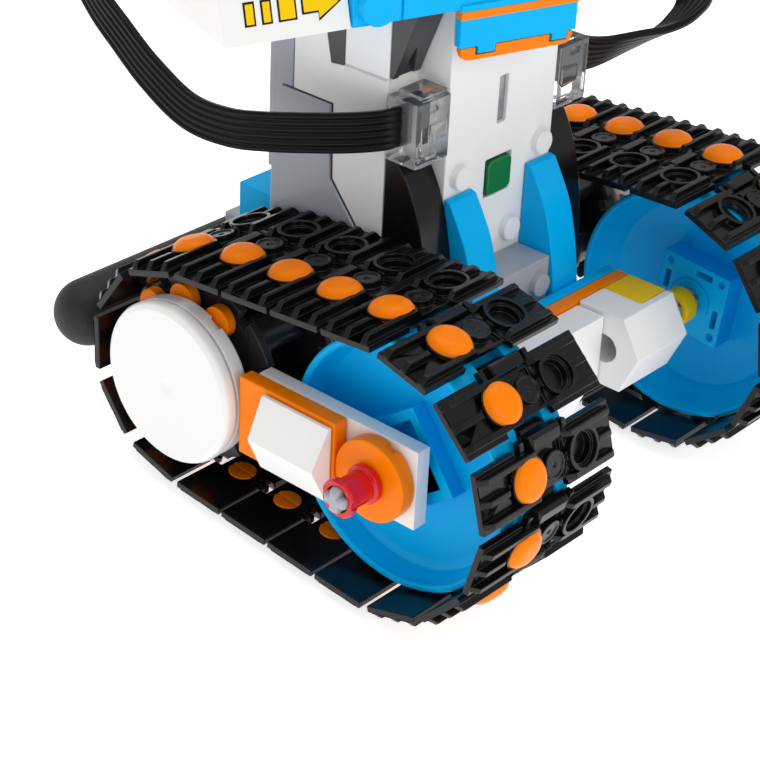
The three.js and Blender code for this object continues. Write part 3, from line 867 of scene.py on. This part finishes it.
def add_hub():
    """The hub's front and rear casings, hollow, narrower under the height low_top."""
    low_w, low_top = 21.4, 6
    solid = [
        box(-HUB_W, HUB_W, HUB_STEP, HUB_SPLIT - 0.2, low_top, HUB_TOP),
        box(-low_w, low_w, HUB_STEP, HUB_SPLIT - 0.2, HUB_FLOOR, low_top + 1),
        box(-15.8, 15.8, HUB_FRONT, HUB_STEP + 1, HUB_FLOOR, NECK_TOP),
        box(-HUB_W, HUB_W, HUB_STEP, 40.4, HUB_TOP - 1, NECK_TOP),
        box(-HUB_W, -16, 40, HUB_SPLIT - 0.2, HUB_TOP - 1, NECK_TOP),
        box(16, HUB_W, 40, HUB_SPLIT - 0.2, HUB_TOP - 1, NECK_TOP),
    ]
    holes = [
        box(-21.4, 21.4, HUB_STEP + 2, HUB_SPLIT + 1, low_top + 2, HUB_TOP - 2),
        box(-19.8, 19.8, HUB_STEP + 2, HUB_SPLIT + 1, HUB_FLOOR + 2, low_top + 3),
        box(-12, 12, HUB_FRONT + 1.8, HUB_STEP + 3, HUB_FLOOR + 2, NECK_TOP - 3),
        box(-1.3, 1.3, HUB_FRONT - 1, HUB_FRONT + 4, 42.6, 52),
        box(-3.9, 3.9, HUB_FRONT - 1, HUB_FRONT + 4, 28, 35.8),
        rod("x", 4, -25, 25, WHEEL_BASE, 0),
    ]
    studs = [(-12, 35.2), (12, 35.2), (-4, 19.6), (4, 19.6)]
    knobs = [stud("y", HUB_FRONT + 0.4, -2.1, x, z) for x, z in studs]
    seams = [box(x - 0.2, x + 0.2, HUB_STEP - 1, 41, 54.8, 55.05) for x in (-HUB_W, HUB_W)]
    make(
        "hub_front",
        "chassis",
        "white_plastic",
        solid,
        holes + seams,
        edge=0.3,
        replaces=["hub_front_shell"],
    )
    make("hub_studs", "chassis", "white_plastic", knobs, edge=0)
    rear = [
        box(-HUB_W, HUB_W, HUB_SPLIT, HUB_BACK - 0.2, low_top, 67.6),
        box(-low_w, low_w, HUB_SPLIT, HUB_BACK - 0.2, HUB_FLOOR, low_top + 1),
    ]
    rear_hollow = [box(-20, 20, HUB_SPLIT - 1, HUB_BACK + 1, 0, 62)]
    make("hub_rear", "chassis", "light_grey_plastic", rear, rear_hollow, replaces=["hub_rear_shell"])


def add_hub_sides():
    """The grey cover plates let into each side of the hub, with the groove round them."""
    cover = [(56, 46.2), (43.8, 46.2), (43.4, 31.3), (36.9, 23.7), (34.6, 6.4), (56, 6.4)]
    groove = [(56.3, 46.6), (43.4, 46.6), (43, 31.5), (36.5, 23.9), (34.2, 6.2), (56.3, 6.2)]
    seam = [slab("x", groove, 20, HUB_W + 0.05)]
    pair("hub_side_seam", "chassis", "dark_grey_plastic", seam, edge=0)
    pair("hub_side_cover", "chassis", "light_grey_plastic", [slab("x", cover, 20, HUB_W + 0.5)])
    slope = [(46.4, 69.2), (40.9, 69.2), (40.9, 54.7), (44.2, 54.3), (45.4, 59.5)]
    pair("neck_slope", "chassis", "dark_grey_plastic", [slab("x", slope, 15.8, 23.9)])


def add_button_and_window():
    button = [
        hull(
            [
                (x * s, HUB_FRONT + y, 31.9 + z * s)
                for x, z in ((-3.5, 2.6), (-2.6, 3.5), (2.6, 3.5), (3.5, 2.6))
                for x, z in ((x, z), (x, -z))
                for y, s in ((-0.5, 0.94), (-0.25, 1), (3, 1))
            ]
        ),
        box(-4.8, 4.8, HUB_FRONT + 2.5, HUB_FRONT + 3.4, 27, 36.8),
    ]
    light = [box(-1.3, 1.3, HUB_FRONT + 1.5, HUB_FRONT + 2.2, 42.4, 52.2)]
    make("window_light", "chassis", "light_grey_plastic", light, edge=0)
    make("power_key", "button", "green_plastic", button, edge=0.12, replaces=["power_button"])


def curved(points):
    """An outline's edge as a smooth curve through its points."""
    return [(p.x, p.y) for p in centripetal([(*p, 0) for p in points], 6)]


def add_fins():
    fin_y = HUB_FRONT - 0.2
    crest = [
        (fin_y - 1.4, 31.4),
        (19, 28.4),
        (16.4, 23.4),
        (14.6, 17.4),
        (13.3, 11),
        (12.6, 5),
        (12.4, -1),
    ]
    front = slab("x", [(fin_y, 31.8), *curved(crest), (fin_y, -1)], 8.1, 15.9)
    pair("front_fin", "chassis", "azure_plastic", [front], edge=0.3, replaces=["front_fin_"])
    back_y = HUB_STEP - 0.2
    crest = [(27.4, 40.2), (25, 37.2), (22.4, 32), (20.4, 25), (19.2, 17.5), (18.9, 10)]
    side = slab("x", [(back_y, 39.9), *curved(crest), (back_y, 10)], 16, HUB_W)
    pair("side_fin", "chassis", "black_plastic", [side], edge=0.3, replaces=["side_fin_"])
    slope = [(back_y, NECK_TOP), (back_y, 55.4), (back_y - 0.8, 55.4), (24, NECK_TOP)]
    hollow = [(17.4, 54), (22.6, 54), (20.2, 61.4)]
    pair(
        "top_slope",
        "chassis",
        "dark_grey_plastic",
        [slab("x", slope, 16.1, 23.5)],
        [slab("y", hollow, 20, back_y - 0.3)],
        replaces=["top_slope_"],
    )


# ---------------------------------------------------------------- plugs
def add_plugs():
    """The clear plugs in the hub's side ports, with the wires inside."""
    z = 46.9
    housing = [
        box(16, 25.1, 22, 29.2, z - 6.3, z + 6.3),
        box(16, 23, 22.8, 28.6, z - 7.1, z + 7.1),
        box(17, 21.6, 21.7, 22.4, z - 1.6, z + 1.6),
    ]
    channels = [box(23.6, 24.4, 21.5, 22.5, z - 4.8, z + 4.8)]
    channels += [box(19.4, 22.2, 21.5, 22.4, z + s - 0.5, z + s + 0.5) for s in (-4.4, 4.4)]
    pair("port_plug", "chassis", "clear_plastic", housing, channels, edge=0.3, replaces=["port_plug_"])
    inside = [box(19.4, 24.4, 25.6, 27, z - 3, z + 4.8)]
    pair("plug_wires", "chassis", "cable_sheath", inside, edge=0.3)


add_hub()
add_hub_sides()
add_button_and_window()
add_fins()
add_plugs()


# ---------------------------------------------------------------- turning upper body
DECK_HALF = 33.7
PANEL_HALF = 57.8
DECK_FLOOR = 70.2
DECK_TOP = 76.4
FRONT_V = -22
PANEL_SLOPE = 7 / 21.8  # how far a shoulder panel's front leans back per mm of height


def add_deck():
    """The shoulder layer, and the chest piece that hangs from its front."""
    band, joints = FRONT_V - 0.6, (-24, 24)
    solid = [
        box(-DECK_HALF, DECK_HALF, FRONT_V, 2, DECK_FLOOR, DECK_TOP),
        box(-12.3, 12.3, band, -20.6, 63.2, DECK_FLOOR + 1),
        box(-8.4, -4.8, band, -20.6, 61.8, 64),
        box(7.2, 10.4, band, -20.6, 61.8, 64),
        *[rod("y", 3.6, -24.2, -21.5, u, 74.2, 40) for u in (-29.6, 29.6)],
    ]
    seams = [
        box(u - 0.15, u + 0.15, FRONT_V - 1, 3, DECK_TOP - 0.3, DECK_TOP + 1) for u in joints
    ]
    seams += [
        box(u - 0.15, u + 0.15, FRONT_V - 1, FRONT_V + 0.3, DECK_FLOOR - 1, DECK_TOP + 1)
        for u in joints
    ]
    make("deck", "upper_body", "azure_plastic", solid, seams, UPPER, 0.25, ["shoulder_deck"])
    strip = [box(-12.35, 12.35, band - 0.15, -21, 68.5, 70)]
    make("chest_strip", "upper_body", "orange_plastic", strip, place=UPPER, edge=0.1)
    corner = [(11.8, 63), (11.8, 62.2), (11.4, 61.2), (10.6, 60.7), (9.8, 60.6)]
    plate = [*corner, *[(-u, z) for u, z in reversed(corner)]]
    tabs = [box(-8.7, -4.5, -23, -20, 61.5, 64), box(6.9, 10.7, -23, -20, 61.5, 64)]
    chest = [slab("y", plate, -22.2, -20.7)]
    make("chest_badge", "upper_body", "orange_plastic", chest, tabs, UPPER, 0.12, ["chest_plate"])


def on_panel(outline, lift):
    """An outline across and up, laid on the sloping front of a shoulder panel."""
    rings = []
    for depth in (0.3, -lift):
        rings.append([(u, FRONT_V + (z - DECK_FLOOR) * PANEL_SLOPE + depth, z) for u, z in outline])
    return stack(rings)


def add_panels():
    """The shoulder panels, each with a plain arrow and three bars that point to the middle."""
    tilt = [(FRONT_V, DECK_FLOOR), (2, DECK_FLOOR), (2, 92), (FRONT_V + 21.8 * PANEL_SLOPE, 92)]
    groove = [box(DECK_HALF + 2, PANEL_HALF - 2, 1.7, 3, z, z + 0.5) for z in (76, 80, 84, 88)]
    pair(
        "shoulder_panel",
        "upper_body",
        "white_plastic",
        [slab("x", tilt, DECK_HALF + 0.2, PANEL_HALF)],
        groove,
        edge=0.35,
        replaces=["shoulder_panel_"],
        frame_of=UPPER,
    )
    middle = 75.1
    bars = [(51.95, 53.35), (48.85, 50.15), (44.25, 47.05)]

    def framed(grow):
        """The three bars and the arrow, grown by a margin on every side."""
        half, stem, head, tip = 1.6 + grow, 1 + grow, 2.2 + 1.5 * grow, 35.9 - 1.6 * grow
        outlines = []
        for a, b in bars:
            low, high = a - grow, b + grow
            base = [(low, middle - half), (high, middle - half)]
            outlines.append([*base, (high, middle + half), (low, middle + half)])
        neck = 39.8 + 0.2 * grow
        upper = [(42.6 + grow, middle + stem), (neck, middle + stem), (neck, middle + head)]
        lower = [(u, 2 * middle - z) for u, z in reversed(upper)]
        outlines.append([*upper, (tip, middle), *lower])
        return outlines

    for name, slot, outlines, lift in (
        ("arrow_edge", "black_plastic", framed(0.35), 0.08),
        ("arrow", "yellow_plastic", framed(0), 0.16),
    ):
        shells = [on_panel(outline, lift) for outline in outlines]
        pair(name, "upper_body", slot, shells, edge=0, frame_of=UPPER)


def add_torso():
    """The torso with its vents, collar, and a recessed panel with three dials."""
    solid = [
        box(-DECK_HALF, DECK_HALF, -18, 1.8, DECK_TOP + 0.2, 101),
        box(-16, 16, -20.4, -17, 80, 97),
        rod("z", 9, 100, 106.6, 0, -8, 64),
    ]
    recess = [box(-13.6, 13.6, -22, -19.7, 82.4, 94.6)]
    vents = [
        box(side * 19.5, side * 30.5, y, y + 1, z, z + 1.1)
        for side in (-1, 1)
        for y in (-18.4, 1.2)
        for z in (82, 85, 88, 91, 94)
    ]
    seam = [box(-40, 40, y, y + 0.6, 98.6, 98.9) for y in (-18.3, 1.5)]
    collar = [slab("z", circle(r, 0, -8, 64), z, z + 1.2) for r, z in ((10.4, 101), (9.8, 104))]
    holes = recess + vents + seam
    make("torso", "upper_body", "white_plastic", solid, holes, UPPER, 0.5, ["torso_block"])
    make("neck_collar", "upper_body", "dark_grey_plastic", collar, place=UPPER)
    panel = [box(-13.3, 13.3, -19.8, -19.2, 82.7, 94.3)]
    make("chest_panel", "upper_body", "dark_grey_plastic", panel, place=UPPER)
    for k, slot in enumerate(("azure_plastic", "yellow_plastic", "orange_plastic")):
        dial = [rod("y", 3.2, -20.6, -19.5, 8 * (k - 1), 88.5, 40)]
        make(f"chest_dial_{k + 1}", "upper_body", slot, dial, place=UPPER, edge=0.3)


HEAD_W, HEAD_FRONT, HEAD_BACK, HEAD_LOW, HEAD_TOP = 27, -25, 12, 107, 148


def add_head():
    """A rounded box with a dark visor, two round eyes and an ear on each side."""
    round_to = 4
    points = []
    for step in range(5):
        a = math.pi / 2 * step / 4
        out, drop = round_to * (1 - math.cos(a)), round_to * (1 - math.sin(a))
        for side in (-1, 1):
            for v in (HEAD_FRONT + round_to - drop, HEAD_BACK - round_to + drop):
                for z in (HEAD_LOW + round_to, HEAD_TOP - round_to):
                    points.append((side * (HEAD_W - out), v, z))
            for z in (HEAD_LOW + drop, HEAD_TOP - drop):
                for v in (HEAD_FRONT + round_to, HEAD_BACK - round_to):
                    points.append((side * (HEAD_W - out), v, z))
    window = [box(-20, 20, HEAD_FRONT - 1, HEAD_FRONT + 3, 116, 140)]
    parting = [box(-30, 30, -5.2, -4.8, HEAD_LOW - 1, HEAD_TOP + 1)]
    inner = [box(-26.7, 26.7, -6, -4, HEAD_LOW + 0.3, HEAD_TOP - 0.3)]
    holes = window + parting
    make("head", "upper_body", "white_plastic", [hull(points)], holes, UPPER, 0.5, ["head_shell"])
    make("head_parting", "upper_body", "dark_grey_plastic", inner, place=UPPER, edge=0)
    ear = [rod("x", 6, 26.8, 28.4, -5, 128, 48), rod("x", 3.6, 28, 29.2, -5, 128, 40)]
    pair("ear_cap", "upper_body", "azure_plastic", ear, edge=0.3, frame_of=UPPER)
    pane = [box(-19.8, 19.8, HEAD_FRONT + 0.6, HEAD_FRONT + 2.8, 116.2, 139.8)]
    make("visor", "upper_body", "black_plastic", pane, place=UPPER, edge=0.5, replaces=["face_visor"])
    eye = (9, 129, 48)
    rim = [(4.2, -22.6), (6, -22.6), (6, -26.6), (5.6, -27.2), (4.6, -27.2), (4.2, -26.8)]
    ring = [turned("y", rim, *eye, closed=True)]
    pair("eye_rim", "upper_body", "light_grey_plastic", ring, edge=0.15, frame_of=UPPER)
    lens = [(4.15, -23.6), (4.15, -25.8), (3.4, -26.5), (1.8, -26.9), (0.3, -27)]
    pair("eye_lens", "upper_body", "azure_plastic", [turned("y", lens, *eye)], edge=0, frame_of=UPPER)


def add_arm_details():
    """Slotted caps on the outer side of each arm's two joints."""
    joints = [rod("x", 5.4, 65.6, 66.3, -8, 88, 40), rod("x", 3.3, 65.6, 66.2, -6, 112, 32)]
    slots = [box(66.05, 67, -11.4, -4.6, 87.6, 88.4), box(66, 67, -8, -4, 111.7, 112.3)]
    pair("arm_joint_cap", "arm_", "dark_grey_plastic", joints, slots, frame_of=UPPER)


# ---------------------------------------------------------------- back of the robot
def add_neck_motor():
    """The motor case behind the neck and the two sockets that the cables end in."""
    solid = [
        box(-12, 12, 46.4, 62, 69.6, 97),
        box(-15.4, 15.4, 46.4, 53.6, 55.6, 70.6),
        *[stud("z", 96.6, 2.1, u, 54) for u in (-4, 4)],
    ]
    seams = [
        *[box(x, x + 0.4, 45, 63, 74.6, 75) for x in (-12.2, 11.8)],
        box(-13, 13, 61.7, 63, 74.6, 75),
        *[rod("y", 1.3, 61.2, 63, u, z, 20) for u in (-9, 9) for z in (78, 94)],
    ]
    make("motor_case", "chassis", "white_plastic", solid, seams, edge=0.4, replaces=["neck_motor"])
    socket = [box(3.8, 8.2, 61.6, 62.5, 82.2, 92.2)]
    pair("motor_socket", "chassis", "dark_grey_plastic", socket, [box(4.9, 7.1, 61, 63, 83.1, 91.3)])


def add_battery_door():
    """The battery door, with a catch and five grip ribs."""
    door = [
        box(-HUB_W + 1, HUB_W - 1, HUB_BACK, HUB_BACK + 1.6, 28, 66.6),
        box(-6, 6, HUB_BACK + 1.4, HUB_BACK + 2.6, 56, 60),
        *[box(-15, 15, HUB_BACK + 1.3, HUB_BACK + 2.1, z, z + 1.2) for z in (34, 37.5, 41, 44.5, 48)],
    ]
    make("battery_door", "chassis", "light_grey_plastic", door, edge=0.3, replaces=["battery_cover"])


TUBE_Y, TUBE_Z, TUBE_R, TUBE_HALF = 82, -2.2, 6.75, 57.4


def add_tube():
    """The soft tube across the back, with round ends."""
    steps = [math.pi / 2 * k / 12 for k in range(1, 13)]
    end = [(TUBE_R * math.sin(a), TUBE_R - TUBE_HALF - TUBE_R * math.cos(a)) for a in steps]
    profile = [*end, *[(r, -d) for r, d in reversed(end)]]
    tube = [turned("x", profile, TUBE_Y, TUBE_Z, 64)]
    make("rear_tube", "chassis", "black_foam", tube, edge=0, replaces=["rear_bumper"])


add_deck()
add_panels()
add_torso()
add_head()
add_arm_details()
add_neck_motor()
add_battery_door()
add_tube()


# ---------------------------------------------------------------- CAD pieces kept as they are
def dress_kept_nodes():
    """Gives each CAD node that still shows its finish and small rounded edges."""
    slots = {s["node"]: s["material_slot"] for s in frame["record"]["subparts"]}
    for name, obj in nodes.items():
        if obj.hide_render:
            continue
        obj.data.materials.clear()
        obj.data.materials.append(SURFACES[slots[name]])
        weld = obj.modifiers.new("weld", "WELD")
        weld.merge_threshold = MERGE_MM * MM
        soften(obj, 0.25)


dress_kept_nodes()


# ---------------------------------------------------------------- floor and light
LIGHT_STRENGTH, SEEN_STRENGTH = 0.56, 1.05  # the pale studio round the robot, as light and as seen


def add_floor():
    material = bpy.data.materials.new("white_floor")
    material.use_nodes = True
    surface = material.node_tree.nodes["Principled BSDF"]
    surface.inputs["Base Color"].default_value = (0.9, 0.9, 0.9, 1)
    surface.inputs["Roughness"].default_value = 0.9
    surface.inputs["Specular IOR Level"].default_value = 0
    surface.inputs["Emission Color"].default_value = (1, 1, 1, 1)
    surface.inputs["Emission Strength"].default_value = 0.7
    mesh = mesh_of([box(-3, 3, -3, 3, -0.01, -0.0002)])
    mesh.materials.append(material)
    floor = bpy.data.objects.new("floor", mesh)
    bpy.context.scene.collection.objects.link(floor)


def add_world():
    world = bpy.data.worlds.new("studio")
    world.use_nodes = True
    tree = world.node_tree
    back = tree.nodes["Background"]
    back.inputs["Color"].default_value = (1, 1, 1, 1)
    seen = tree.nodes.new("ShaderNodeLightPath")
    strength = node_of(tree, "ShaderNodeMapRange")
    for socket, value in zip(strength.inputs[1:5], (0, 1, LIGHT_STRENGTH, SEEN_STRENGTH)):
        socket.default_value = value
    tree.links.new(seen.outputs["Is Camera Ray"], strength.inputs[0])
    tree.links.new(strength.outputs[0], back.inputs["Strength"])
    bpy.context.scene.world = world


def add_softbox(name, place, size, power):
    """A soft area light in watts, aimed at the robot."""
    aim = (0, 0, 0.05)
    data = bpy.data.lights.new(name, "AREA")
    data.shape = "RECTANGLE"
    data.size, data.size_y = size
    data.energy = power
    light = bpy.data.objects.new(name, data)
    light.location = place
    light.rotation_euler = (Vector(aim) - Vector(place)).to_track_quat("-Z", "Y").to_euler()
    bpy.context.scene.collection.objects.link(light)


add_floor()
add_world()
add_softbox("top_softbox", (0.1, 0.2, 0.9), (0.9, 0.6), 3.6)
add_softbox("front_softbox", (-0.3, -0.9, 0.6), (0.5, 0.7), 2.6)
bpy.context.scene.view_settings.view_transform = "Standard"
